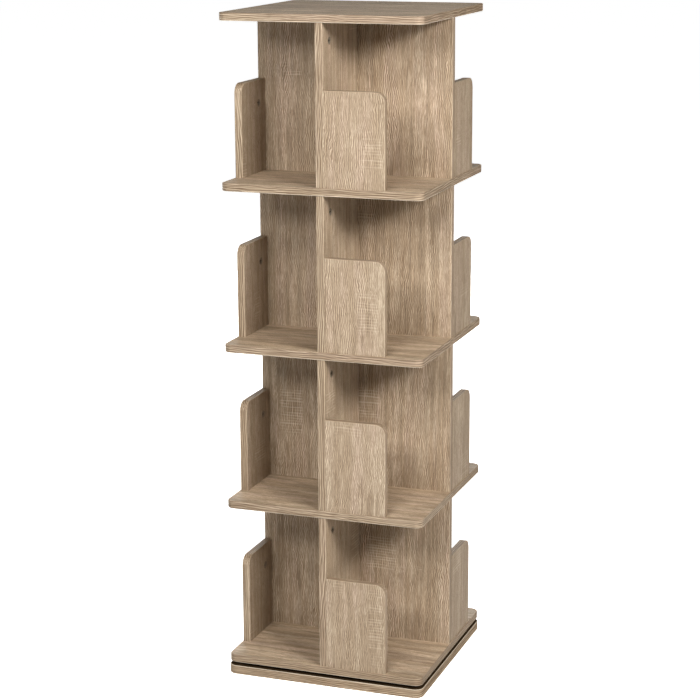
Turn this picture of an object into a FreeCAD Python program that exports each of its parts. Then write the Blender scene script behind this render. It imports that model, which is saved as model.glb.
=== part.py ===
import FreeCAD, Part
import math
import os
from collections import defaultdict

# Revolving bookcase: a square base board, a ball-bearing turntable hidden in the gap above it,
# and a carousel of five square boards with a cross of dividers and four book stops in each tier.
# The origin is the centre of the base board's underside, +Z is up and -Y is the front.
# All sizes are in millimetres.

# Boards of the carousel
board_side = 400.0
board_thickness = 15.0
board_corner_radius = 16.0
edge_rounding = 1.2

# Base board, which stands on the floor
base_side = 402.0
base_thickness = 18.0
base_corner_radius = 17.0

# Clear heights between boards: the bottom and top tiers, then the two between them
end_tier_height = 303.0
middle_tier_height = 297.0

# Dividers, which stand in a cross about the centre, and book stops are cut from the same stock
panel_thickness = 15.0
divider_setback = 2.0

# Book stops, one at the outer end of each arm of the cross
stop_width = 120.0
stop_height = 180.0
stop_corner_radius = 20.0

# Cam locks, which turn in pockets to draw two panels together
cam_diameter = 15.0
cam_backing = 2.4
cam_distance = 35.0
cam_clearance = 0.1
cam_rim_width = 1.0
cam_dish_depth = 0.5
cam_recess_span = 9.0
cam_recess_core = 6.0
cam_recess_width = 2.2
cam_recess_depth = 2.6
divider_cam_setback = 37.0
stop_cam_margin = 45.0
stop_dowel_margin = 45.0

# Bolts that the cam locks pull on
bolt_thread_diameter = 7.0
bolt_shank_diameter = 6.0
bolt_neck_diameter = 4.0
bolt_neck_length = 5.0
bolt_head_diameter = 6.6
bolt_head_length = 2.4
bolt_head_play = 0.2
bolt_bore_play = 0.7

# Wooden dowels
dowel_diameter = 8.0
dowel_length = 30.0
dowel_chamfer = 0.8
divider_dowel_reach = 60.0
stop_floor_dowel_margin = 35.0
centre_dowel_depth = 20.0
centre_dowel_margin = 80.0

# Countersunk screws up through each board into the dividers that stand on it
panel_screw_length = 50.0
panel_screw_diameter = 5.0
panel_screw_head_diameter = 9.0
panel_screw_head_height = 2.6
panel_screw_tip_length = 5.0
panel_screw_socket = 4.0
panel_screw_socket_depth = 2.0
inner_screw_reach = 40.0
outer_screw_setback = 58.0

# Play left round every dowel, bolt and screw in its hole, on the radius
fastener_play = 0.05
# Room past the end of each, and what is left of a panel or board behind a blind hole in its face
hole_end_gap = 0.3
blind_hole_cover = 4.7

# Turntable: two pressed plates with a ring of balls between them
plate_side = 200.0
plate_corner_radius = 10.0
plate_thickness = 1.2
plate_window_radius = 59.0
hook_overlap = 3.5
hook_side_clearance = 2.5
hook_top_clearance = 0.3
collar_clearance = 0.3
hook_floor_gap = 0.9
race_depth = 0.5
ball_diameter = 5.5
ball_count = 32
ball_clearance = 0.05
cage_width = 10.0
cage_thickness = 1.6
cage_play = 0.15
cage_side_gap = 3.8

# Pan-head screws that hold the plates
plate_screw_length = 12.0
plate_screw_diameter = 4.0
plate_screw_head_diameter = 7.5
plate_screw_head_height = 2.0
plate_screw_tip_length = 2.5
plate_screw_recess_span = 4.0
plate_screw_recess_width = 1.0
plate_screw_recess_depth = 1.1
plate_screw_hole_play = 0.25
lower_screw_margin = 10.0
upper_screw_margin = 22.0
access_hole_diameter = 16.0

# Heights and reaches worked out from the sizes above
swivel_gap = ball_diameter + 2 * (ball_clearance + plate_thickness - race_depth)
arm_reach = board_side / 2 - divider_setback
cam_height = panel_thickness - cam_backing - cam_clearance
rim_wall_radius = plate_window_radius + hook_overlap + hook_side_clearance
race_radius = rim_wall_radius + plate_thickness + cage_side_gap + cage_width / 2
lower_screw_offset = plate_side / 2 - lower_screw_margin
upper_screw_offset = plate_side / 2 - upper_screw_margin
tier_heights = [end_tier_height, middle_tier_height, middle_tier_height, end_tier_height]
board_names = ["bottom_board", "lower_shelf", "middle_shelf", "upper_shelf", "top_board"]
board_floors = [base_thickness + swivel_gap]
for height in tier_heights:
    board_floors.append(board_floors[-1] + board_thickness + height)

ORIGIN = FreeCAD.Vector(0, 0, 0)
UP = FreeCAD.Vector(0, 0, 1)
DOWN = FreeCAD.Vector(0, 0, -1)
TINY = 0.001

# Direction of each arm of the cross, seen from above
arms = {"right": (1, 0), "back": (0, 1), "left": (-1, 0), "front": (0, -1)}
# The cross divider is drilled for its cam locks on its back face, the other two on the stop's side
cam_side = {"right": 1, "back": 1, "left": -1, "front": 1}

cuts = defaultdict(list)
groups = defaultdict(list)


def on_arm(arm, out, across, up):
    """Point or direction from its measures along an arm, across it towards the stop, and up."""
    c, s = arms[arm]
    return FreeCAD.Vector(c * out - s * across, s * out + c * across, up)


def along_arm(arm, point):
    """Measures of a point along an arm, across it towards the stop, and up."""
    c, s = arms[arm]
    return c * point.x + s * point.y, c * point.y - s * point.x, point.z


def rod(start, direction, diameter, length):
    """Round bar from a point along a direction."""
    return Part.makeCylinder(diameter / 2, length, start, direction)


def ring(inner_radius, outer_radius, low, high):
    """Flat ring about the turning axis between two heights."""
    centre = FreeCAD.Vector(0, 0, low)
    outer = Part.makeCylinder(outer_radius, high - low, centre)
    inner = Part.makeCylinder(inner_radius, high - low, centre)
    return outer.cut(inner)


def turned_solid(profile):
    """Solid of revolution about Z from (radius, height) points, closed along the axis."""
    points = [FreeCAD.Vector(r, 0, z) for r, z in profile]
    face = Part.Face(Part.makePolygon(points + [points[0]]))
    return face.revolve(ORIGIN, UP, 360)


def stand(shape, point, direction):
    """Copy of a shape built along +Z from the origin, set at a point along a direction."""
    placed = shape.copy()
    placed.Placement = FreeCAD.Placement(point, FreeCAD.Rotation(UP, direction))
    return placed


def panel_between(corner, opposite):
    """Rectangular panel between two opposite corners."""
    low = FreeCAD.Vector(*(min(a, b) for a, b in zip(corner, opposite)))
    high = FreeCAD.Vector(*(max(a, b) for a, b in zip(corner, opposite)))
    size = high - low
    return Part.makeBox(size.x, size.y, size.z, low)


def rounded_square(side, corner_radius, low, thickness):
    """Square plate centred on the turning axis, with rounded corners."""
    half = side / 2
    straight = half - corner_radius
    bend = corner_radius * math.sqrt(0.5)
    edges = []
    for arm in arms:
        corner_start = on_arm(arm, half, straight, low)
        corner_middle = on_arm(arm, straight + bend, straight + bend, low)
        corner_end = on_arm(arm, straight, half, low)
        edges.append(Part.makeLine(on_arm(arm, half, -straight, low), corner_start))
        edges.append(Part.Arc(corner_start, corner_middle, corner_end).toShape())
    return Part.Face(Part.Wire(edges)).extrude(FreeCAD.Vector(0, 0, thickness))


def cross_recess(span, width, depth):
    """Cross-shaped cut, sunk below the origin along -Z."""
    arm = Part.makeBox(span, width, depth, FreeCAD.Vector(-span / 2, -width / 2, -depth))
    other = arm.copy()
    other.rotate(ORIGIN, UP, 90)
    return arm.fuse(other)


def board_blank(side, thickness, corner_radius, low):
    """Board with its top and bottom edges rounded over."""
    board = rounded_square(side, corner_radius, low, thickness)
    level = [edge for edge in board.Edges if abs(edge.Vertexes[0].Z - edge.Vertexes[-1].Z) < TINY]
    return board.makeFillet(edge_rounding, level)


def divider_blank(arm, inner_reach, floor, ceiling):
    """Divider from one reach out to the arm's end, with the upright edges of its outer ends rounded."""
    half = panel_thickness / 2
    panel = panel_between(on_arm(arm, inner_reach, -half, floor), on_arm(arm, arm_reach, half, ceiling))
    outer = []
    for edge in panel.Edges:
        ends = [along_arm(arm, vertex.Point) for vertex in edge.Vertexes]
        upright = abs(ends[0][2] - ends[1][2]) > TINY
        if upright and all(arm_reach - abs(end[0]) < TINY for end in ends):
            outer.append(edge)
    return panel.makeFillet(edge_rounding, outer)


def stop_blank(arm, floor):
    """Book stop at the end of an arm, with a round outer top corner and rounded free edges."""
    inner_face = arm_reach - panel_thickness
    near = panel_thickness / 2
    far = near + stop_width
    top = floor + stop_height
    bend = stop_corner_radius * (1 - math.sqrt(0.5))

    def at(across, up):
        return on_arm(arm, inner_face, across, up)

    corner = Part.Arc(at(far - stop_corner_radius, top), at(far - bend, top - bend),
                      at(far, top - stop_corner_radius))
    outline = Part.Wire([
        Part.makeLine(at(near, floor), at(near, top)),
        Part.makeLine(at(near, top), at(far - stop_corner_radius, top)),
        corner.toShape(),
        Part.makeLine(at(far, top - stop_corner_radius), at(far, floor)),
        Part.makeLine(at(far, floor), at(near, floor)),
    ])
    stop = Part.Face(outline).extrude(on_arm(arm, panel_thickness, 0, 0))
    free = []
    for edge in stop.Edges:
        ends = [along_arm(arm, vertex.Point) for vertex in edge.Vertexes]
        on_a_face = abs(ends[0][0] - ends[-1][0]) < TINY
        at_divider = all(end[1] - near < TINY for end in ends)
        at_floor = all(end[2] - floor < TINY for end in ends)
        if on_a_face and not at_divider and not at_floor:
            free.append(edge)
    return stop.makeFillet(edge_rounding, free)


def cam_lock():
    """Cam lock with its face at the origin, its body below and its mouth towards +X."""
    radius = cam_diameter / 2 - cam_clearance
    body = Part.makeCylinder(radius, cam_height, FreeCAD.Vector(0, 0, -cam_height))
    dish = rod(ORIGIN, DOWN, 2 * (radius - cam_rim_width), cam_dish_depth)
    recess_depth = cam_dish_depth + cam_recess_depth
    core = rod(ORIGIN, DOWN, cam_recess_core, recess_depth)
    return body.cut([dish, core, cross_recess(cam_recess_span, cam_recess_width, recess_depth)])


def cam_mouth(start, direction):
    """Slot that lets a bolt's head into a cam lock, from the cam's centre line outwards."""
    slot_diameter = bolt_head_diameter + 2 * bolt_head_play
    backset = bolt_head_length
    return rod(start - direction * backset, direction, slot_diameter, backset + cam_diameter)


def blind_depth(carrier_thickness):
    """How far a bolt or dowel reaches into the face of a board or panel."""
    return carrier_thickness - blind_hole_cover - hole_end_gap


def cam_bolt(thread_length):
    """Bolt with its thread below the origin and its shank, neck and head above."""
    head_top = cam_distance + bolt_head_length / 2
    head_bottom = head_top - bolt_head_length
    neck_bottom = head_bottom - bolt_neck_length
    thread = bolt_thread_diameter / 2
    shank = bolt_shank_diameter / 2
    neck = bolt_neck_diameter / 2
    head = bolt_head_diameter / 2
    return turned_solid([
        (0, -thread_length), (thread, -thread_length), (thread, 0), (shank, 0),
        (shank, neck_bottom), (neck, neck_bottom), (neck, head_bottom), (head, head_bottom),
        (head, head_top), (0, head_top),
    ])


def dowel(length):
    """Dowel standing on the origin, with chamfered ends."""
    radius = dowel_diameter / 2
    return turned_solid([
        (0, 0), (radius - dowel_chamfer, 0), (radius, dowel_chamfer), (radius, length - dowel_chamfer),
        (radius - dowel_chamfer, length), (0, length),
    ])


def panel_screw():
    """Countersunk screw with its head's flat face at the origin and its tip above."""
    shank = panel_screw_diameter / 2
    head = panel_screw_head_diameter / 2
    body = turned_solid([
        (0, 0), (head, 0), (shank, panel_screw_head_height),
        (shank, panel_screw_length - panel_screw_tip_length), (0, panel_screw_length),
    ])
    corners = [
        FreeCAD.Vector(math.cos(math.radians(60 * k)), math.sin(math.radians(60 * k)), 0)
        * (panel_screw_socket / math.sqrt(3))
        for k in range(7)
    ]
    socket = Part.Face(Part.makePolygon(corners)).extrude(UP * panel_screw_socket_depth)
    return body.cut(socket)


def plate_screw():
    """Pan-head screw with the underside of its head at the origin and its tip above."""
    shank = plate_screw_diameter / 2
    head = plate_screw_head_diameter / 2
    shoulder = plate_screw_head_height / 2
    crown = head - shoulder
    body = turned_solid([
        (0, -plate_screw_head_height), (crown, -plate_screw_head_height), (head, -shoulder), (head, 0),
        (shank, 0), (shank, plate_screw_length - plate_screw_tip_length), (0, plate_screw_length),
    ])
    recess = cross_recess(plate_screw_recess_span, plate_screw_recess_width, plate_screw_recess_depth)
    return body.cut(stand(recess, FreeCAD.Vector(0, 0, -plate_screw_head_height), DOWN))


def fit_cam(panel, carrier, carrier_thickness, entry, into_panel, facing):
    """Cam lock in a panel's face and the bolt from the carrier's face that it pulls on."""
    thread_length = blind_depth(carrier_thickness)
    centre = entry + into_panel * cam_distance
    face = centre + facing * (panel_thickness / 2)
    lock = stand(cam_lock(), face, facing).cut(cam_mouth(centre, into_panel * -1))
    groups["cam_locks"].append(lock)
    groups["cam_bolts"].append(stand(cam_bolt(thread_length), entry, into_panel))
    cuts[panel].append(rod(face, facing * -1, cam_diameter, cam_height + cam_clearance))
    bore = bolt_head_diameter + 2 * bolt_bore_play
    cuts[panel].append(rod(entry, into_panel, bore, cam_distance))
    pilot = bolt_thread_diameter + 2 * fastener_play
    cuts[carrier].append(rod(entry, into_panel * -1, pilot, thread_length + hole_end_gap))


def fit_dowel(panel, carrier, carrier_thickness, entry, into_panel):
    """Dowel from the face of what carries a panel into the panel's end."""
    hole = dowel_diameter + 2 * fastener_play
    face_depth = blind_depth(carrier_thickness)
    end_depth = dowel_length - face_depth
    groups["dowels"].append(stand(dowel(dowel_length), entry - into_panel * face_depth, into_panel))
    cuts[panel].append(rod(entry, into_panel, hole, end_depth + hole_end_gap))
    cuts[carrier].append(rod(entry, into_panel * -1, hole, face_depth + hole_end_gap))


def fit_panel_screw(board, panel, head):
    """Screw from a board's underside up into the end of the panel that stands on the board."""
    play = 2 * fastener_play
    groups["panel_screws"].append(stand(panel_screw(), head, UP))
    shank = rod(head, UP, panel_screw_diameter + play, panel_screw_length)
    countersink = Part.makeCone(panel_screw_head_diameter / 2 + play, panel_screw_diameter / 2 + play,
                                panel_screw_head_height, head, UP)
    cuts[board].append(shank.fuse(countersink))
    cuts[panel].append(shank)


def fit_arm(tier, arm, divider, floor_board, ceiling_board, floor, ceiling):
    """All fittings of one arm of the cross: the divider's, then the book stop's."""
    cam_reach = arm_reach - divider_cam_setback
    top_cam = on_arm(arm, cam_reach, 0, ceiling)
    facing = on_arm(arm, 0, cam_side[arm], 0)
    fit_cam(divider, ceiling_board, board_thickness, top_cam, DOWN, facing)
    fit_dowel(divider, ceiling_board, board_thickness, on_arm(arm, divider_dowel_reach, 0, ceiling), DOWN)
    for reach in (inner_screw_reach, arm_reach - outer_screw_setback):
        fit_panel_screw(floor_board, divider, on_arm(arm, reach, 0, floor - board_thickness))

    stop = f"{arm}_stop_tier_{tier}"
    middle = arm_reach - panel_thickness / 2
    near = panel_thickness / 2
    outwards = on_arm(arm, 0, 1, 0)
    inwards = on_arm(arm, -1, 0, 0)
    cam_entry = on_arm(arm, middle, near, floor + stop_height - stop_cam_margin)
    fit_cam(stop, divider, panel_thickness, cam_entry, outwards, inwards)
    side_entry = on_arm(arm, middle, near, floor + stop_dowel_margin)
    fit_dowel(stop, divider, panel_thickness, side_entry, outwards)
    across = near + stop_width - stop_floor_dowel_margin
    fit_dowel(stop, floor_board, board_thickness, on_arm(arm, middle, across, floor), UP)


def fit_centre(tier, floor, ceiling):
    """Dowels through the cross divider into the front and back dividers."""
    length = panel_thickness + 2 * centre_dowel_depth
    hole = dowel_diameter + 2 * fastener_play
    for height in (floor + centre_dowel_margin, ceiling - centre_dowel_margin):
        start = FreeCAD.Vector(0, -length / 2, height)
        back = FreeCAD.Vector(0, 1, 0)
        groups["centre_dowels"].append(stand(dowel(length), start, back))
        bore = rod(start - back * hole_end_gap, back, hole, length + 2 * hole_end_gap)
        for name in ("cross", "front", "back"):
            cuts[f"{name}_divider_tier_{tier}"].append(bore)


def fit_plate_screws(group, carrier, plate, offset, underside, direction):
    """Four screws through a turntable plate into its board."""
    for x in (-offset, offset):
        for y in (-offset, offset):
            point = FreeCAD.Vector(x, y, underside)
            groups[group].append(stand(plate_screw(), point, direction))
            hole = plate_screw_diameter + 2 * plate_screw_hole_play
            cuts[plate].append(rod(point, direction, hole, plate_thickness))
            pilot = plate_screw_diameter + 2 * fastener_play
            cuts[carrier].append(rod(point, direction, pilot, plate_screw_length + hole_end_gap))


def lower_plate():
    """Plate screwed to the base, with a raised inner rim that the upper plate hooks under."""
    low = base_thickness
    wall_outer = rim_wall_radius + plate_thickness
    rim_low = low + hook_floor_gap + plate_thickness + hook_top_clearance
    rim_top = rim_low + plate_thickness
    plate = rounded_square(plate_side, plate_corner_radius, low, plate_thickness)
    window = Part.makeCylinder(rim_wall_radius, plate_thickness, FreeCAD.Vector(0, 0, low))
    wall = ring(rim_wall_radius, wall_outer, low, rim_top)
    rim = ring(plate_window_radius, wall_outer, rim_low, rim_top)
    return plate.cut(window).fuse([wall, rim]).removeSplitter()


def upper_plate():
    """Plate screwed to the carousel, with a collar through the lower plate's rim and a hook under it."""
    high = base_thickness + swivel_gap
    collar_outer = plate_window_radius - collar_clearance
    collar_inner = collar_outer - plate_thickness
    hook_low = base_thickness + hook_floor_gap
    plate = rounded_square(plate_side, plate_corner_radius, high - plate_thickness, plate_thickness)
    window = Part.makeCylinder(collar_inner, plate_thickness, FreeCAD.Vector(0, 0, high - plate_thickness))
    collar = ring(collar_inner, collar_outer, hook_low, high)
    hook = ring(collar_inner, plate_window_radius + hook_overlap, hook_low, hook_low + plate_thickness)
    return plate.cut(window).fuse([collar, hook]).removeSplitter()


def fit_balls():
    """Balls in the race between the plates, and the holes for them in the cage."""
    middle = base_thickness + swivel_gap / 2
    for k in range(ball_count):
        turn = 2 * math.pi * k / ball_count
        centre = FreeCAD.Vector(race_radius * math.cos(turn), race_radius * math.sin(turn), middle)
        groups["bearing_balls"].append(Part.makeSphere(ball_diameter / 2, centre))
        hole = ball_diameter + 2 * cage_play
        start = centre - UP * (cage_thickness / 2)
        cuts["ball_cage"].append(rod(start, UP, hole, cage_thickness))
    race = Part.makeTorus(race_radius, ball_diameter / 2 + ball_clearance, FreeCAD.Vector(0, 0, middle))
    cuts["turntable_lower_plate"].append(race)
    cuts["turntable_upper_plate"].append(race)


def ball_cage():
    """Flat ring that keeps the balls apart."""
    middle = base_thickness + swivel_gap / 2
    half_width = cage_width / 2
    half_thickness = cage_thickness / 2
    return ring(race_radius - half_width, race_radius + half_width,
                middle - half_thickness, middle + half_thickness)


def build():
    """Blanks of every panel and plate, then the fittings that cut them."""
    blanks = {"base_board": board_blank(base_side, base_thickness, base_corner_radius, 0)}
    for name, low in zip(board_names, board_floors):
        blanks[name] = board_blank(board_side, board_thickness, board_corner_radius, low)

    for index, height in enumerate(tier_heights):
        tier = index + 1
        floor = board_floors[index] + board_thickness
        ceiling = floor + height
        cross = f"cross_divider_tier_{tier}"
        carriers = {"right": cross, "left": cross}
        blanks[cross] = divider_blank("right", -arm_reach, floor, ceiling)
        for arm in ("front", "back"):
            carriers[arm] = f"{arm}_divider_tier_{tier}"
            blanks[carriers[arm]] = divider_blank(arm, panel_thickness / 2, floor, ceiling)
        for arm in arms:
            blanks[f"{arm}_stop_tier_{tier}"] = stop_blank(arm, floor)
            fit_arm(tier, arm, carriers[arm], board_names[index], board_names[index + 1], floor, ceiling)
        fit_centre(tier, floor, ceiling)

    blanks["turntable_lower_plate"] = lower_plate()
    blanks["turntable_upper_plate"] = upper_plate()
    blanks["ball_cage"] = ball_cage()
    fit_balls()
    fit_plate_screws("lower_plate_screws", "base_board", "turntable_lower_plate", lower_screw_offset,
                     base_thickness + plate_thickness, DOWN)
    fit_plate_screws("upper_plate_screws", "bottom_board", "turntable_upper_plate", upper_screw_offset,
                     base_thickness + swivel_gap - plate_thickness, UP)
    access = FreeCAD.Vector(upper_screw_offset, upper_screw_offset, 0)
    driver_way = rod(access, UP, access_hole_diameter, base_thickness + plate_thickness)
    cuts["base_board"].append(driver_way)
    cuts["turntable_lower_plate"].append(driver_way)

    pieces = {}
    for name, blank in blanks.items():
        pieces[name] = blank.cut(cuts[name]) if cuts[name] else blank
    for name, solids in groups.items():
        pieces[name] = Part.makeCompound(solids)
    return pieces


os.makedirs("parts", exist_ok=True)
for name, shape in build().items():
    shape.exportStep(os.path.join("parts", f"{name}.step"))
    state = "valid" if shape.isValid() else "NOT VALID"
    print(f"{name}: {len(shape.Solids)} solids, {shape.Volume / 1000:.1f} cm3, {state}")
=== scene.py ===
import math
import random

import bpy
from mathutils import Matrix, Vector

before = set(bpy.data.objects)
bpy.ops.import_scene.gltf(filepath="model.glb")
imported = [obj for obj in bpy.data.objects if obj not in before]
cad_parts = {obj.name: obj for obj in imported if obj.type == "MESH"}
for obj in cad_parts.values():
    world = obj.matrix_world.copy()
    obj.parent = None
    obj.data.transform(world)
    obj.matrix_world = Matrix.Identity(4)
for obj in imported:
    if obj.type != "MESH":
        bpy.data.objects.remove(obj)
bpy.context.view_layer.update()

# Revolving bookcase in light oak foil. All sizes are in metres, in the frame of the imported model:
# +Z is the turning axis and -Y is the front.
x_axis, y_axis, z_axis = range(3)

# Camera, as the perspective of the photograph gives it
camera_place = Vector((1.2866, -3.6023, 1.5464))
camera_yaw = math.radians(19.832)
camera_pitch = math.radians(12.615)
camera_roll = math.radians(0.28)
focal_length_mm = 102.27
sensor_width_mm = 36.0
picture_shift = -0.0429
view_gamma = 0.9

# Studio
pure_white = (1.0, 1.0, 1.0)
warm_white = (1.0, 0.99, 0.97)
warmest_white = (1.0, 0.985, 0.96)
cool_white = (0.86, 0.94, 1.0)
floor_size = 120.0
floor_colour = (0.9, 0.9, 0.9)
floor_roughness = 0.9
floor_glow = 0.99
room_colour = (0.93, 0.97, 1.0)
room_brightness = 0.008
lamp_target = Vector((0.0, 0.0, 0.7))
# Name of each lamp, its place, breadth, height, power in watts and colour
lamps = [
    ("right_softbox", Vector((2.69, -1.75, 2.34)), 1.7, 0.6, 126.0, warmest_white),
    ("high_softbox", Vector((0.38, -2.73, 3.01)), 1.2, 0.6, 44.0, warm_white),
    ("front_softbox", Vector((-0.40, -3.21, 2.28)), 1.6, 0.6, 54.0, warm_white),
    ("left_softbox", Vector((-2.75, -2.20, 1.00)), 1.6, 1.6, 8.0, pure_white),
    ("back_softbox", Vector((-1.2, 4.2, 1.8)), 4.0, 4.0, 34.0, cool_white),
    ("low_back_softbox", Vector((-1.3, 3.8, 0.66)), 2.6, 1.1, 70.0, warm_white),
    ("low_left_softbox", Vector((-3.5, 1.2, 0.66)), 2.4, 1.1, 55.0, warm_white),
]

# Oak foil: linear colours of its ground, veins, pores, saw marks and worn arrises, and the painted shade on
# the base's faces that makes the gap over the base look dark
oak_middle = (0.464, 0.372, 0.272)
oak_light = (0.607, 0.508, 0.390)
oak_pink = (0.59, 0.474, 0.376)
oak_vein = (0.212, 0.149, 0.094)
oak_pore = (0.142, 0.097, 0.061)
saw_mark_colour = (0.66, 0.56, 0.44)
arris_colour = (0.66, 0.56, 0.43)
lip_colour = (0.80, 0.72, 0.61)
base_gap_painted_shade = (0.055, 0.036, 0.019)

# A noise is given by its cells in a metre along each axis, its detail and, where it isn't the usual one, its
# roughness
usual_roughness = 0.5

# Slow wander of the grain, and the finer sway of its dashes, which is wider in the flares
wander_noise = ((9.0, 9.0, 3.2), 1.0)
wander_reach = 0.030
sway_noise = ((90.0, 90.0, 75.0), 1.0)
calm_sway = 0.0018
flare_sway = 0.0028

# Layers of the grain, each a noise drawn out along it: cells in a metre across and along the grain, detail,
# and the noise values at which the layer begins and is full
layer_roughness = 0.55
flare_layer = (18.0, 9.0, 1.0, 0.54, 0.72)
band_layer = (60.0, 1.1, 3.0, 0.36, 0.64)
pink_layer = (26.0, 4.0, 2.0, 0.40, 0.62)
fibre_layer = (900.0, 26.0, 1.0, 0.36, 0.66)
pore_layer = (1500.0, 110.0, 1.0, 0.56, 0.68)
vein_stretch_layer = (38.0, 9.0, 1.0, 0.44, 0.60)

# Veins: the noise whose middle contour they follow, and how near to it they are full and end
vein_noise = ((44.0, 44.0, 2.2), 2.0, layer_roughness)
vein_contour = 0.5
vein_edges = (0.006, 0.024)

# Dashes: cells in a metre and ripples in each, how far they are drawn out along the grain, the ripple values
# at which a dash begins and is full, and the gaps where dashes fade
dash_cells = 125.0
ripples_in_a_cell = 2.5
dash_squash = 0.8
dash_edges = (0.62, 0.34)
dash_gap_noise = ((90.0, 90.0, 22.0), 1.0)
dash_gap_edges = (0.20, 0.50)
faintest_dash = 0.45

# How strongly the layers show in the colour, the relief and the gloss
vein_strength = 0.60
fibre_strength = 0.52
pore_strength = 0.40
dash_depth = 0.5
pore_depth = 0.8
relief_strength = 0.35
relief_depth = 0.0004
foil_roughness = 0.60
vein_polish = 0.10
foil_specular = 0.35
base_specular = 0.0

# Each kind of panel: "level" for boards and shelves, "upright" for dividers and "stop" for book stops.
# Brightness of their edge bands and faces against the foil's own colours
plain_band_shade = (0.88, 0.865, 0.85)
stop_band_shade = (0.96, 0.95, 0.935)
band_shades = {"level": plain_band_shade, "upright": plain_band_shade, "stop": stop_band_shade}
face_shades = {"level": 1.23, "upright": 1.09, "stop": 1.0}
# Light and dark streaks on the faces: how many in a metre across and along the grain, and how strong
face_streaks = {"level": (75.0, 10.0, 0.15), "upright": (260.0, 6.0, 0.10), "stop": (260.0, 6.0, 0.03)}
streak_detail = 2.0
streak_edges = (0.35, 0.65)
saw_mark_strengths = {"level": 0.24, "upright": 0.38, "stop": 0.24}
# How strongly the tone of an arris shows where it looks down, and where it looks up
lower_wear = {"level": 0.6, "upright": 0.25, "stop": 0.3}
upper_wear = 0.45
# Strength of the dashes and their sway, on the faces and on the edge bands
face_figures = {"level": (0.92, 0.8), "upright": (1.0, 0.8), "stop": (0.86, 1.15)}
band_figure = (1.0, 0.42)
band_stretch = (0.72, 0.72, 0.36)

# Slope is how squarely a surface faces along its panel's thickness: 0 on the edge band and 1 on the face.
# Below band_slope a point gets the band's foil. Each pair is the stretch over which one finish turns into
# another, the last two of the normal's part along Z
band_slope = 0.6
shade_slopes = (0.45, 0.75)
saw_mark_slopes = (0.9, 0.99)
face_slopes = (0.93, 0.995)
arris_slopes = (0.04, 0.22)
stop_top_slopes = (0.55, 0.75)
upward_slopes = (0.05, 0.3)

# How far each next panel's piece of foil lies from the last one's
foil_shifts = (0.731, 0.413, 0.937)
# Mean distance of a board's outline from the turning axis
outline_radius = 0.26
# Axes across and along the grain on a panel's face, by the axis of its thickness
face_axes = {x_axis: (y_axis, z_axis), y_axis: (x_axis, z_axis), z_axis: (y_axis, x_axis)}

# Patches of saw marks: spacing and height of the lines, and the noises that fray a patch's sides, sway its
# lines and break them up
saw_mark_spacing = 0.0058
line_height = 0.55
line_edges = (0.15, 0.65)
patch_fade = 0.7
fray_noise = ((20.0, 0.0, 130.0), 2.0)
fray_reach = 0.016
line_sway_noise = ((16.0, 0.0, 24.0), 1.0)
line_sway = 0.006
line_break_noise = ((14.0, 0.0, 110.0), 1.0)
line_break = 2.6
# What gives a patch its place: its middle across and along the face, half its breadth and half its height
patch_sockets = ("Middle Across", "Middle Along", "Breadth", "Height")
seen_patches = {
    "cross_divider_tier_1": [(0.055, 0.2165, 0.036, 0.040), (0.117, 0.191, 0.028, 0.005)],
    "cross_divider_tier_2": [(-0.136, 0.495, 0.028, 0.054), (0.029, 0.528, 0.026, 0.036)],
    "front_stop_tier_1": [(0.108, 0.134, 0.016, 0.090), (0.030, 0.204, 0.013, 0.014)],
    "front_stop_tier_3": [(0.094, 0.752, 0.022, 0.044)],
    "front_stop_tier_4": [(0.103, 1.051, 0.022, 0.042)],
}
random_half_breadths = (0.015, 0.035)
random_half_heights = (0.01, 0.05)

# Cam locks: colours and gloss of the zinc, the painted shade in a cam's recess, and how far behind its
# panel's face the recess is painted nearly black
cam_pale = (0.31, 0.26, 0.205)
cam_dark = (0.21, 0.175, 0.135)
cam_recess_painted_shade = (0.012, 0.010, 0.008)
cam_speckle_noise = ((900.0, 900.0, 900.0), 3.0)
cam_metallic = 0.3
cam_roughnesses = (0.5, 0.65)
cam_gloss_edges = (0.3, 0.7)
cam_specular = 0.12
dark_recess_depth = 0.0015
sideways_slope = 0.5

# Fittings: the nodes that share each finish, and its colour, roughness, share of metal, specks in a metre
# along each axis, and share of the colour that comes from crystals
fitting_nodes = {
    "bright_zinc": ("cam_bolts", "panel_screws", "lower_plate_screws", "upper_plate_screws"),
    "beech": ("dowels", "centre_dowels"),
    "galvanised_sheet": ("turntable_lower_plate", "turntable_upper_plate"),
    "nylon": ("ball_cage",),
    "polished_steel": ("bearing_balls",),
}
even_specks = (900.0, 900.0, 900.0)
long_specks = (700.0, 700.0, 220.0)
fitting_finishes = {
    "bright_zinc": ((0.60, 0.60, 0.57), 0.32, 1.0, even_specks, 0.0),
    "beech": ((0.56, 0.37, 0.20), 0.62, 0.0, long_specks, 0.0),
    "galvanised_sheet": ((0.50, 0.51, 0.52), 0.42, 1.0, even_specks, 0.6),
    "nylon": ((0.68, 0.66, 0.60), 0.48, 0.0, even_specks, 0.0),
    "polished_steel": ((0.64, 0.64, 0.65), 0.12, 1.0, even_specks, 0.0),
}
speck_detail = 3.0
stain_noise = ((70.0, 70.0, 70.0), 2.0)
stain_share = 0.35
crystals_in_a_metre = 160.0
# The darkest specks have this share of the colour, and the roughness runs from rough to smooth with them
dark_speck_share = 0.72
speck_edges = (0.25, 0.75)
gloss_edges = (0.2, 0.8)
rough_factor = 1.25
smooth_factor = 0.8
fitting_relief_strength = 0.2
fitting_relief_depth = 0.0001

# Both inputs and the output of a Mix node, for each kind of value
mix_sockets = {"FLOAT": (2, 3, 0), "VECTOR": (4, 5, 1), "RGBA": (6, 7, 2)}


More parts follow.
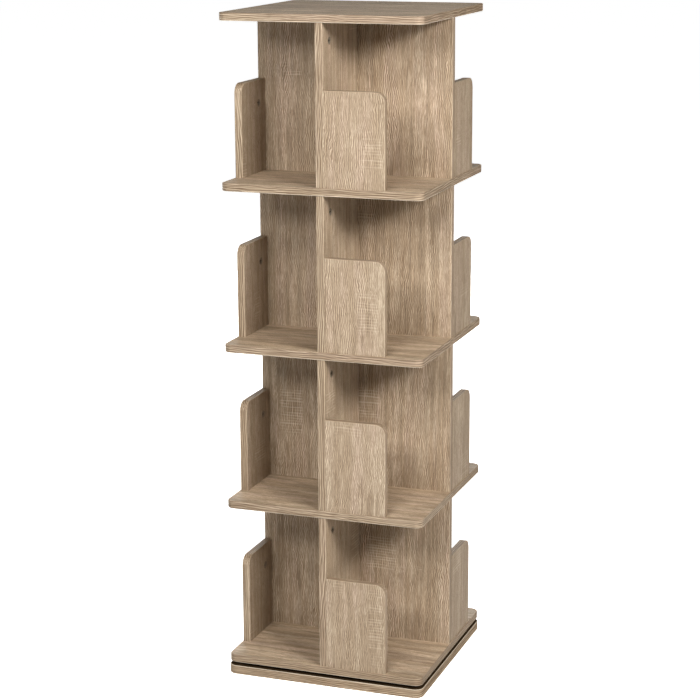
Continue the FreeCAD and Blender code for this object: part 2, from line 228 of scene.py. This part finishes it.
def build_camera():
    """Camera whose axes come from its heading, its downward tilt and a small roll."""
    ahead = Vector((-math.sin(camera_yaw) * math.cos(camera_pitch),
                    math.cos(camera_yaw) * math.cos(camera_pitch),
                    -math.sin(camera_pitch)))
    level = Vector((math.cos(camera_yaw), math.sin(camera_yaw), 0.0))
    down = ahead.cross(level)
    right = level * math.cos(camera_roll) + down * math.sin(camera_roll)
    low = down * math.cos(camera_roll) - level * math.sin(camera_roll)
    data = bpy.data.cameras.new("camera")
    data.sensor_width = sensor_width_mm
    data.lens = focal_length_mm
    data.shift_y = picture_shift
    data.clip_end = floor_size
    camera = bpy.data.objects.new("camera", data)
    turn = Matrix((right, -low, -ahead)).transposed()
    camera.matrix_world = Matrix.Translation(camera_place) @ turn.to_4x4()
    bpy.context.scene.collection.objects.link(camera)
    bpy.context.scene.camera = camera


def build_softbox(name, place, breadth, height, power, colour):
    """Rectangular studio light that faces the middle of the bookcase."""
    data = bpy.data.lights.new(name, "AREA")
    data.shape = "RECTANGLE"
    data.size = breadth
    data.size_y = height
    data.color = colour
    data.energy = power
    light = bpy.data.objects.new(name, data)
    light.visible_camera = False
    aim = (lamp_target - place).to_track_quat("-Z", "Y")
    light.matrix_world = Matrix.Translation(place) @ aim.to_matrix().to_4x4()
    bpy.context.scene.collection.objects.link(light)


def build_room_light():
    """Even light from all round."""
    world = bpy.data.worlds.new("room")
    world.use_nodes = True
    backdrop = world.node_tree.nodes["Background"]
    backdrop.inputs["Color"].default_value = (*room_colour, 1.0)
    backdrop.inputs["Strength"].default_value = room_brightness
    bpy.context.scene.world = world


class Shader:
    """Small helper that adds nodes to one node tree and joins them."""

    def __init__(self, tree):
        """Helper for a tree, which it empties first."""
        self.tree = tree
        tree.nodes.clear()

    def put(self, socket, value):
        """Sets a socket's value, or links another socket to it."""
        if isinstance(value, bpy.types.NodeSocket):
            self.tree.links.new(value, socket)
        elif socket.type == "RGBA":
            socket.default_value = (*value, 1.0)
        else:
            socket.default_value = value

    def add(self, kind, settings=None, **inputs):
        """Node of a kind, with its settings, and with values or links for its inputs.

        In the name of an input, a low line stands for a space.
        """
        node = self.tree.nodes.new(kind)
        for name, value in (settings or {}).items():
            setattr(node, name, value)
        for name, value in inputs.items():
            self.put(node.inputs[name.replace("_", " ")], value)
        return node

    def ordered(self, kind, settings, *values):
        """Node of a kind, with its settings, and with values or links for its first inputs in order."""
        node = self.add(kind, settings)
        for socket, value in zip(node.inputs, values):
            self.put(socket, value)
        return node

    def math(self, operation, *values):
        """Result of a Math node."""
        return self.ordered("ShaderNodeMath", {"operation": operation}, *values).outputs[0]

    def vector_math(self, operation, *vectors):
        """Result of a Vector Math node."""
        return self.ordered("ShaderNodeVectorMath", {"operation": operation}, *vectors).outputs[0]

    def ramp(self, value, low, high, to_low=0.0, to_high=1.0):
        """Value stretched from one range to another with soft ends."""
        settings = {"interpolation_type": "SMOOTHSTEP"}
        return self.ordered("ShaderNodeMapRange", settings, value, low, high, to_low, to_high).outputs[0]

    def noise(self, vector, cells, detail, roughness=usual_roughness, output="Fac"):
        """Noise between 0 and 1, with as many cells in a metre along each axis as cells says."""
        place = self.vector_math("MULTIPLY", vector, cells)
        node = self.add("ShaderNodeTexNoise", Vector=place, Scale=1.0, Detail=detail, Roughness=roughness)
        return node.outputs[output]

    def mix(self, kind, share, first, second, blend_type="MIX"):
        """Value, vector or colour that is mixed from two."""
        node = self.add("ShaderNodeMix", {"data_type": kind, "blend_type": blend_type}, Factor=share)
        first_socket, second_socket, result = mix_sockets[kind]
        self.put(node.inputs[first_socket], first)
        self.put(node.inputs[second_socket], second)
        return node.outputs[result]

    def split(self, vector):
        """Three parts of a vector."""
        return self.add("ShaderNodeSeparateXYZ", Vector=vector).outputs[:]

    def group(self, tree, **inputs):
        """Outputs of a node group that is placed in this tree."""
        return self.add("ShaderNodeGroup", {"node_tree": tree}, **inputs).outputs

    def bump(self, height, strength, depth):
        """Normal that follows a relief."""
        return self.add("ShaderNodeBump", Strength=strength, Distance=depth, Height=height).outputs[0]

    def finish(self, surface):
        """Joins a surface shader to the material's output."""
        self.add("ShaderNodeOutputMaterial", Surface=surface.outputs[0])


def new_material(name):
    """Empty material, and the helper for its nodes."""
    material = bpy.data.materials.new(name)
    material.use_nodes = True
    return material, Shader(material.node_tree)


def new_group(name, inputs, outputs):
    """Empty shader node group: the helper for its nodes, and its inputs as they arrive inside.

    inputs and outputs give the kind of each socket by its name.
    """
    tree = bpy.data.node_groups.new(name, "ShaderNodeTree")
    for way, sockets in (("INPUT", inputs), ("OUTPUT", outputs)):
        for socket_name, kind in sockets.items():
            tree.interface.new_socket(socket_name, in_out=way, socket_type=f"NodeSocket{kind}")
    shader = Shader(tree)
    return shader, shader.add("NodeGroupInput").outputs


def build_grain_group():
    """Printed oak: X and Y of the vector lie across the grain and Z runs along it, in metres.

    Broad bands, pink patches, brown veins, short wavy dashes, fibres and pores are drawn out along the grain
    and bent by the same slow wander. Figure sets the strength of the dashes and Wander how far they sway,
    with 1 as the usual sway.
    """
    shader, given = new_group("oak_grain", {"Vector": "Vector", "Figure": "Float", "Wander": "Float"},
                              {"Color": "Color", "Height": "Float", "Roughness": "Float"})
    place = given["Vector"]

    def bent(vector, noise, reach):
        """Vector moved across the grain by a noise."""
        wander = shader.noise(vector, *noise, output="Color")
        across = shader.vector_math("MULTIPLY", wander, (1.0, 1.0, 0.0))
        move = shader.add("ShaderNodeVectorMath", {"operation": "SCALE"}, Vector=across, Scale=reach)
        return shader.vector_math("ADD", vector, move.outputs[0])

    def layer(vector, across, along, detail, low, high):
        """Share from 0 to 1 of a layer of the grain."""
        return shader.ramp(shader.noise(vector, (across, across, along), detail, layer_roughness), low, high)

    slow = bent(place, wander_noise, wander_reach)
    sway = shader.math("MULTIPLY_ADD", layer(place, *flare_layer), flare_sway, calm_sway)
    wavy = bent(slow, sway_noise, shader.math("MULTIPLY", sway, given["Wander"]))
    fibres = layer(wavy, *fibre_layer)
    pores = layer(wavy, *pore_layer)

    # Veins follow a contour line of a noise that is drawn out along the grain
    offset = shader.math("ABSOLUTE", shader.math("SUBTRACT", shader.noise(wavy, *vein_noise), vein_contour))
    nearness = shader.ramp(offset, *vein_edges, 1.0, 0.0)
    veins = shader.math("MULTIPLY", nearness, layer(place, *vein_stretch_layer))

    # Dashes are ripples in the plane of the face, so the two ways across are added up
    x, y, z = shader.split(wavy)
    flat = shader.add("ShaderNodeCombineXYZ", X=shader.math("ADD", x, y),
                      Y=shader.math("MULTIPLY", z, dash_squash)).outputs[0]
    ripples = shader.add("ShaderNodeTexGabor", {"gabor_type": "2D"}, Vector=flat, Scale=dash_cells,
                         Frequency=ripples_in_a_cell, Anisotropy=1.0, Orientation=0.0)
    gaps = shader.ramp(shader.noise(wavy, *dash_gap_noise), *dash_gap_edges, faintest_dash, 1.0)
    dashes = shader.math("MULTIPLY", shader.ramp(ripples.outputs["Value"], *dash_edges), gaps)

    colour = shader.mix("RGBA", layer(slow, *pink_layer), oak_light, oak_pink)
    colour = shader.mix("RGBA", layer(slow, *band_layer), oak_middle, colour)
    for mask, strength, tone in ((veins, vein_strength, oak_vein), (dashes, given["Figure"], oak_vein),
                                 (fibres, fibre_strength, oak_vein), (pores, pore_strength, oak_pore)):
        colour = shader.mix("RGBA", shader.math("MULTIPLY", mask, strength), colour, tone)

    height = shader.math("SUBTRACT", shader.math("MULTIPLY", dashes, -dash_depth),
                         shader.math("MULTIPLY", pores, pore_depth))
    roughness = shader.math("MULTIPLY_ADD", veins, -vein_polish, foil_roughness)
    shader.add("NodeGroupOutput", Color=colour, Height=height, Roughness=roughness)
    return shader.tree


def build_saw_mark_group():
    """Pale lines across the grain in one patch, given by its middle and by half its breadth and height.

    Across and Along are the place on the panel's face. The patch has ragged sides and soft ends, and each
    line sways and breaks up.
    """
    names = ("Across", "Along") + patch_sockets
    shader, given = new_group("saw_marks", dict.fromkeys(names, "Float"), {"Share": "Float"})
    across, along, middle_across, middle_along, half_breadth, half_height = (given[name] for name in names)
    flat = shader.add("ShaderNodeCombineXYZ", X=across, Z=along).outputs[0]

    def swing(noise, reach):
        """Noise that swings as far above 0 as below it."""
        return shader.math("MULTIPLY_ADD", shader.noise(flat, *noise), reach, -reach / 2)

    def within(place, middle, half):
        """Share that falls from 1 to 0 towards both ends of the patch."""
        offset = shader.math("ABSOLUTE", shader.math("SUBTRACT", place, middle))
        return shader.ramp(shader.math("DIVIDE", offset, half), patch_fade, 1.0, 1.0, 0.0)

    frayed = shader.math("ADD", across, swing(fray_noise, fray_reach))
    patch = shader.math("MULTIPLY", within(frayed, middle_across, half_breadth),
                        within(along, middle_along, half_height))
    sway = shader.math("MULTIPLY", shader.noise(flat, *line_sway_noise), line_sway)
    swayed = shader.math("ADD", along, sway)
    wave = shader.math("SINE", shader.math("MULTIPLY", swayed, math.tau / saw_mark_spacing))
    broken = shader.math("MULTIPLY_ADD", wave, line_height, swing(line_break_noise, line_break))
    shader.add("NodeGroupOutput", Share=shader.math("MULTIPLY", patch, shader.ramp(broken, *line_edges)))
    return shader.tree


def build_arris_group():
    """Wear on the rounded arris between a panel's face and its edge band.

    Slope is 0 on the band and 1 on the face, and Upward is the normal's part along Z. Share is how strongly
    the wear shows, and Tone is its colour, which goes from the lower to the upper one as the arris looks up.
    """
    shader, given = new_group(
        "worn_arris",
        {"Slope": "Float", "Upward": "Float", "Lower Wear": "Float",
         "Lower Tone": "Color", "Upper Tone": "Color"},
        {"Share": "Float", "Tone": "Color"})
    arris = shader.math("MULTIPLY", shader.ramp(given["Slope"], *arris_slopes),
                        shader.ramp(given["Slope"], *face_slopes, 1.0, 0.0))
    upper = shader.ramp(given["Upward"], *upward_slopes)
    wear = shader.mix("FLOAT", upper, given["Lower Wear"], upper_wear)
    tone = shader.mix("RGBA", upper, given["Lower Tone"], given["Upper Tone"])
    shader.add("NodeGroupOutput", Share=shader.math("MULTIPLY", arris, wear), Tone=tone)
    return shader.tree


def build_shade_group():
    """Brightness of a panel against the foil's own colours: even on its edge band and streaked on its faces.

    Cells is the number of streaks in a metre along each axis of the vector, Depth is how strong they are,
    and Slope is 0 on the band and 1 on the face.
    """
    shader, given = new_group(
        "panel_shade",
        {"Vector": "Vector", "Cells": "Vector", "Depth": "Float", "Slope": "Float", "Face": "Float",
         "Band": "Color"},
        {"Shade": "Color"})
    streaks = shader.noise(given["Vector"], given["Cells"], streak_detail)
    darkest = shader.math("SUBTRACT", 1.0, given["Depth"])
    brightest = shader.math("ADD", 1.0, given["Depth"])
    face = shader.math("MULTIPLY", shader.ramp(streaks, *streak_edges, darkest, brightest), given["Face"])
    on_face = shader.ramp(given["Slope"], *shade_slopes)
    shader.add("NodeGroupOutput", Shade=shader.mix("RGBA", on_face, given["Band"], face))
    return shader.tree


def build_speckle_group():
    """Fine specks and broader stains on a fitting.

    Cells is the number of specks in a metre along each axis, and Spangle the share of the shade that comes
    from crystals about 6 mm across, as on galvanised sheet.
    """
    shader, given = new_group("speckles", {"Vector": "Vector", "Cells": "Vector", "Spangle": "Float"},
                              {"Shade": "Float", "Height": "Float"})
    place = given["Vector"]
    specks = shader.noise(place, given["Cells"], speck_detail)
    shade = shader.mix("FLOAT", stain_share, specks, shader.noise(place, *stain_noise))
    crystals = shader.add("ShaderNodeTexVoronoi", Vector=place, Scale=crystals_in_a_metre)
    tint = shader.add("ShaderNodeSeparateColor", Color=crystals.outputs["Color"])
    shade = shader.mix("FLOAT", given["Spangle"], shade, tint.outputs[0])
    shader.add("NodeGroupOutput", Shade=shade, Height=specks)
    return shader.tree


def panel_reach(node, axis):
    """Lowest and highest place of a panel along one axis."""
    places = [corner[axis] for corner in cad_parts[node].bound_box]
    return min(places), max(places)


def saw_patches(node, thickness_axis, seed):
    """Patches of saw marks on a panel's faces: those that the photograph shows, or else a random one."""
    if node in seen_patches:
        return seen_patches[node]
    draw = random.Random(seed)
    across, along = (panel_reach(node, axis) for axis in face_axes[thickness_axis])
    ranges = (across, along, random_half_breadths, random_half_heights)
    return [[draw.uniform(low, high) for low, high in ranges]]


def foil_places(shader, kind, thickness_axis, seed, place, rise):
    """Where a point lies on the foil of the faces, and on the foil of the edge band.

    The third part runs along the grain: up dividers and stops, along X on boards, and along every edge band.
    A stop's band turns over its top, where rise, the normal's size along Z, is large.
    """
    x, y, z = place

    def on_foil(*parts):
        """Place on the foil, in the piece of it that this panel has."""
        node = shader.add("ShaderNodeCombineXYZ")
        for socket, part, shift in zip(node.inputs, parts, foil_shifts):
            shader.put(socket, shader.math("ADD", part, seed * shift))
        return node.outputs[0]

    if kind == "level":
        angle = shader.math("ARCTAN2", x, shader.math("MULTIPLY", y, -1.0))
        return on_foil(y, z, x), on_foil(z, 0.0, shader.math("MULTIPLY", angle, outline_radius))
    breadth, run = (y, x) if thickness_axis == y_axis else (x, y)
    band_place = on_foil(breadth, run, z)
    if kind == "stop":
        over_top = shader.ramp(rise, *stop_top_slopes)
        band_place = shader.mix("VECTOR", over_top, band_place, on_foil(breadth, z, run))
    return on_foil(x, y, z), band_place


def oak_material(node, kind, thickness_axis, seed):
    """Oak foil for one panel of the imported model: faces, edge bands, saw marks and worn arrises."""
    material, shader = new_material(f"oak_{node}")
    where = shader.add("ShaderNodeTexCoord").outputs
    place = shader.split(where["Object"])
    normal = shader.split(where["Normal"])
    slopes = [shader.math("ABSOLUTE", part) for part in normal]
    slope = slopes[thickness_axis]

    # The face and the edge band have foils of their own
    face_place, band_place = foil_places(shader, kind, thickness_axis, seed, place, slopes[z_axis])
    banded = shader.math("LESS_THAN", slope, band_slope)
    drawn_out = shader.vector_math("MULTIPLY", band_place, band_stretch)
    figure, wander = (shader.mix("FLOAT", banded, *pair) for pair in zip(face_figures[kind], band_figure))
    foil = shader.group(oak_grain, Vector=shader.mix("VECTOR", banded, face_place, drawn_out),
                        Figure=figure, Wander=wander)
    many_across, many_along, depth = face_streaks[kind]
    shade = shader.group(panel_shade, Vector=face_place, Cells=(many_across, many_across, many_along),
                         Depth=depth, Slope=slope, Face=face_shades[kind], Band=band_shades[kind])
    colour = shader.mix("RGBA", 1.0, foil["Color"], shade["Shade"], blend_type="MULTIPLY")

    across, along = (place[axis] for axis in face_axes[thickness_axis])
    strength = shader.ramp(slope, *saw_mark_slopes, 0.0, saw_mark_strengths[kind])
    for patch in saw_patches(node, thickness_axis, seed):
        marks = shader.group(saw_marks, Across=across, Along=along, **dict(zip(patch_sockets, patch)))
        share = shader.math("MULTIPLY", strength, marks["Share"])
        colour = shader.mix("RGBA", share, colour, saw_mark_colour)

    # Painted shade: the base's faces are painted nearly black, so the gap over the base looks as dark as a
    # shadow
    if node == "base_board":
        colour = shader.mix("RGBA", shader.ramp(slope, *face_slopes), colour, base_gap_painted_shade)

    # An arris that looks down is worn pale. One that looks up stays browner, except on the base
    lower_tone = lip_colour if kind == "level" else arris_colour
    upper_tone = oak_vein if kind == "level" else oak_middle
    if node == "base_board":
        upper_tone = lip_colour
    worn = shader.group(worn_arris, Slope=slope, Upward=normal[z_axis], Lower_Wear=lower_wear[kind],
                        Lower_Tone=lower_tone, Upper_Tone=upper_tone)
    colour = shader.mix("RGBA", worn["Share"], colour, worn["Tone"])

    shader.finish(shader.add(
        "ShaderNodeBsdfPrincipled", Base_Color=colour, Roughness=foil["Roughness"],
        Specular_IOR_Level=base_specular if node == "base_board" else foil_specular,
        Normal=shader.bump(foil["Height"], relief_strength, relief_depth)))
    return material


def fitting_material(name, colour, roughness, metallic, cells, spangle):
    """Finish of a fitting, whose colour, gloss and relief vary with fine specks."""
    material, shader = new_material(name)
    where = shader.add("ShaderNodeTexCoord").outputs
    marks = shader.group(speckles, Vector=where["Object"], Cells=cells, Spangle=spangle)
    shade = marks["Shade"]
    darker = [part * dark_speck_share for part in colour]
    shader.finish(shader.add(
        "ShaderNodeBsdfPrincipled", Metallic=metallic,
        Base_Color=shader.mix("RGBA", shader.ramp(shade, *speck_edges), darker, colour),
        Roughness=shader.ramp(shade, *gloss_edges, roughness * rough_factor, roughness * smooth_factor),
        Normal=shader.bump(marks["Height"], fitting_relief_strength, fitting_relief_depth)))
    return material


def cam_material():
    """Tarnished zinc with painted shade in its cross recess, which lies deeper than the face of the cam and
    is painted nearly black.

    A cam faces along X or Y, so the part of its place along its normal tells how deep a point lies. Deeper
    is nearer to the middle plane in dividers, whose faces are close to it, and further from it in stops.
    """
    material, shader = new_material("cam_zinc")
    where = shader.add("ShaderNodeTexCoord").outputs
    place = shader.split(where["Object"])
    x_slope = shader.math("ABSOLUTE", shader.split(where["Normal"])[x_axis])
    faces_x = shader.math("GREATER_THAN", x_slope, sideways_slope)
    distance = shader.math("ABSOLUTE", shader.mix("FLOAT", faces_x, place[y_axis], place[x_axis]))
    divider_face = max(panel_reach("cross_divider_tier_1", y_axis))
    stop_face = min(panel_reach("right_stop_tier_1", x_axis))
    # Painted shade: points that lie deeper than the cam's face are painted nearly black, as the recess would
    # look in shadow
    deep = shader.math("MAXIMUM", shader.math("LESS_THAN", distance, divider_face - dark_recess_depth),
                       shader.math("GREATER_THAN", distance, stop_face + dark_recess_depth))
    speckle = shader.noise(where["Object"], *cam_speckle_noise)
    zinc = shader.mix("RGBA", speckle, cam_dark, cam_pale)
    shader.finish(shader.add(
        "ShaderNodeBsdfPrincipled", Specular_IOR_Level=cam_specular,
        Base_Color=shader.mix("RGBA", deep, zinc, cam_recess_painted_shade),
        Metallic=shader.math("MULTIPLY_ADD", deep, -cam_metallic, cam_metallic),
        Roughness=shader.ramp(speckle, *cam_gloss_edges, *cam_roughnesses)))
    return material


def build_floor():
    """Pale floor that reaches past every view and looks white to the camera."""
    half = floor_size / 2
    mesh = bpy.data.meshes.new("floor")
    mesh.from_pydata([(-half, -half, 0.0), (half, -half, 0.0), (half, half, 0.0), (-half, half, 0.0)], [],
                     [(0, 1, 2, 3)])
    floor = bpy.data.objects.new("floor", mesh)
    bpy.context.scene.collection.objects.link(floor)
    material, shader = new_material("floor_paper")
    paper = shader.add("ShaderNodeBsdfPrincipled", Base_Color=floor_colour, Roughness=floor_roughness)
    seen = shader.add("ShaderNodeLightPath").outputs["Is Camera Ray"]
    glow = shader.add("ShaderNodeEmission", Color=pure_white,
                      Strength=shader.math("MULTIPLY", seen, floor_glow))
    shader.finish(shader.ordered("ShaderNodeAddShader", {}, paper.outputs[0], glow.outputs[0]))
    mesh.materials.append(material)


def dress(node, material):
    """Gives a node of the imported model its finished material."""
    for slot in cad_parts[node].material_slots:
        slot.material = material


def dress_panels():
    """Oak foil on every board, shelf, divider and stop, with a piece of foil of its own for each."""
    for seed, node in enumerate(sorted(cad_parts)):
        if node.endswith(("_board", "_shelf")):
            dress(node, oak_material(node, "level", z_axis, seed))
        elif "_divider_" in node:
            thickness_axis = y_axis if node.startswith("cross") else x_axis
            dress(node, oak_material(node, "upright", thickness_axis, seed))
        elif "_stop_" in node:
            thickness_axis = y_axis if node.startswith(("front", "back")) else x_axis
            dress(node, oak_material(node, "stop", thickness_axis, seed))


def dress_fittings():
    """Metal, wood and plastic finishes on the cams, bolts, dowels, screws and turntable."""
    dress("cam_locks", cam_material())
    for finish, nodes in fitting_nodes.items():
        material = fitting_material(finish, *fitting_finishes[finish])
        for node in nodes:
            dress(node, material)


bpy.context.scene.view_settings.view_transform = "Standard"
bpy.context.scene.view_settings.gamma = view_gamma
build_camera()
build_floor()
build_room_light()
for lamp in lamps:
    build_softbox(*lamp)

oak_grain = build_grain_group()
saw_marks = build_saw_mark_group()
worn_arris = build_arris_group()
panel_shade = build_shade_group()
speckles = build_speckle_group()
dress_panels()
dress_fittings()
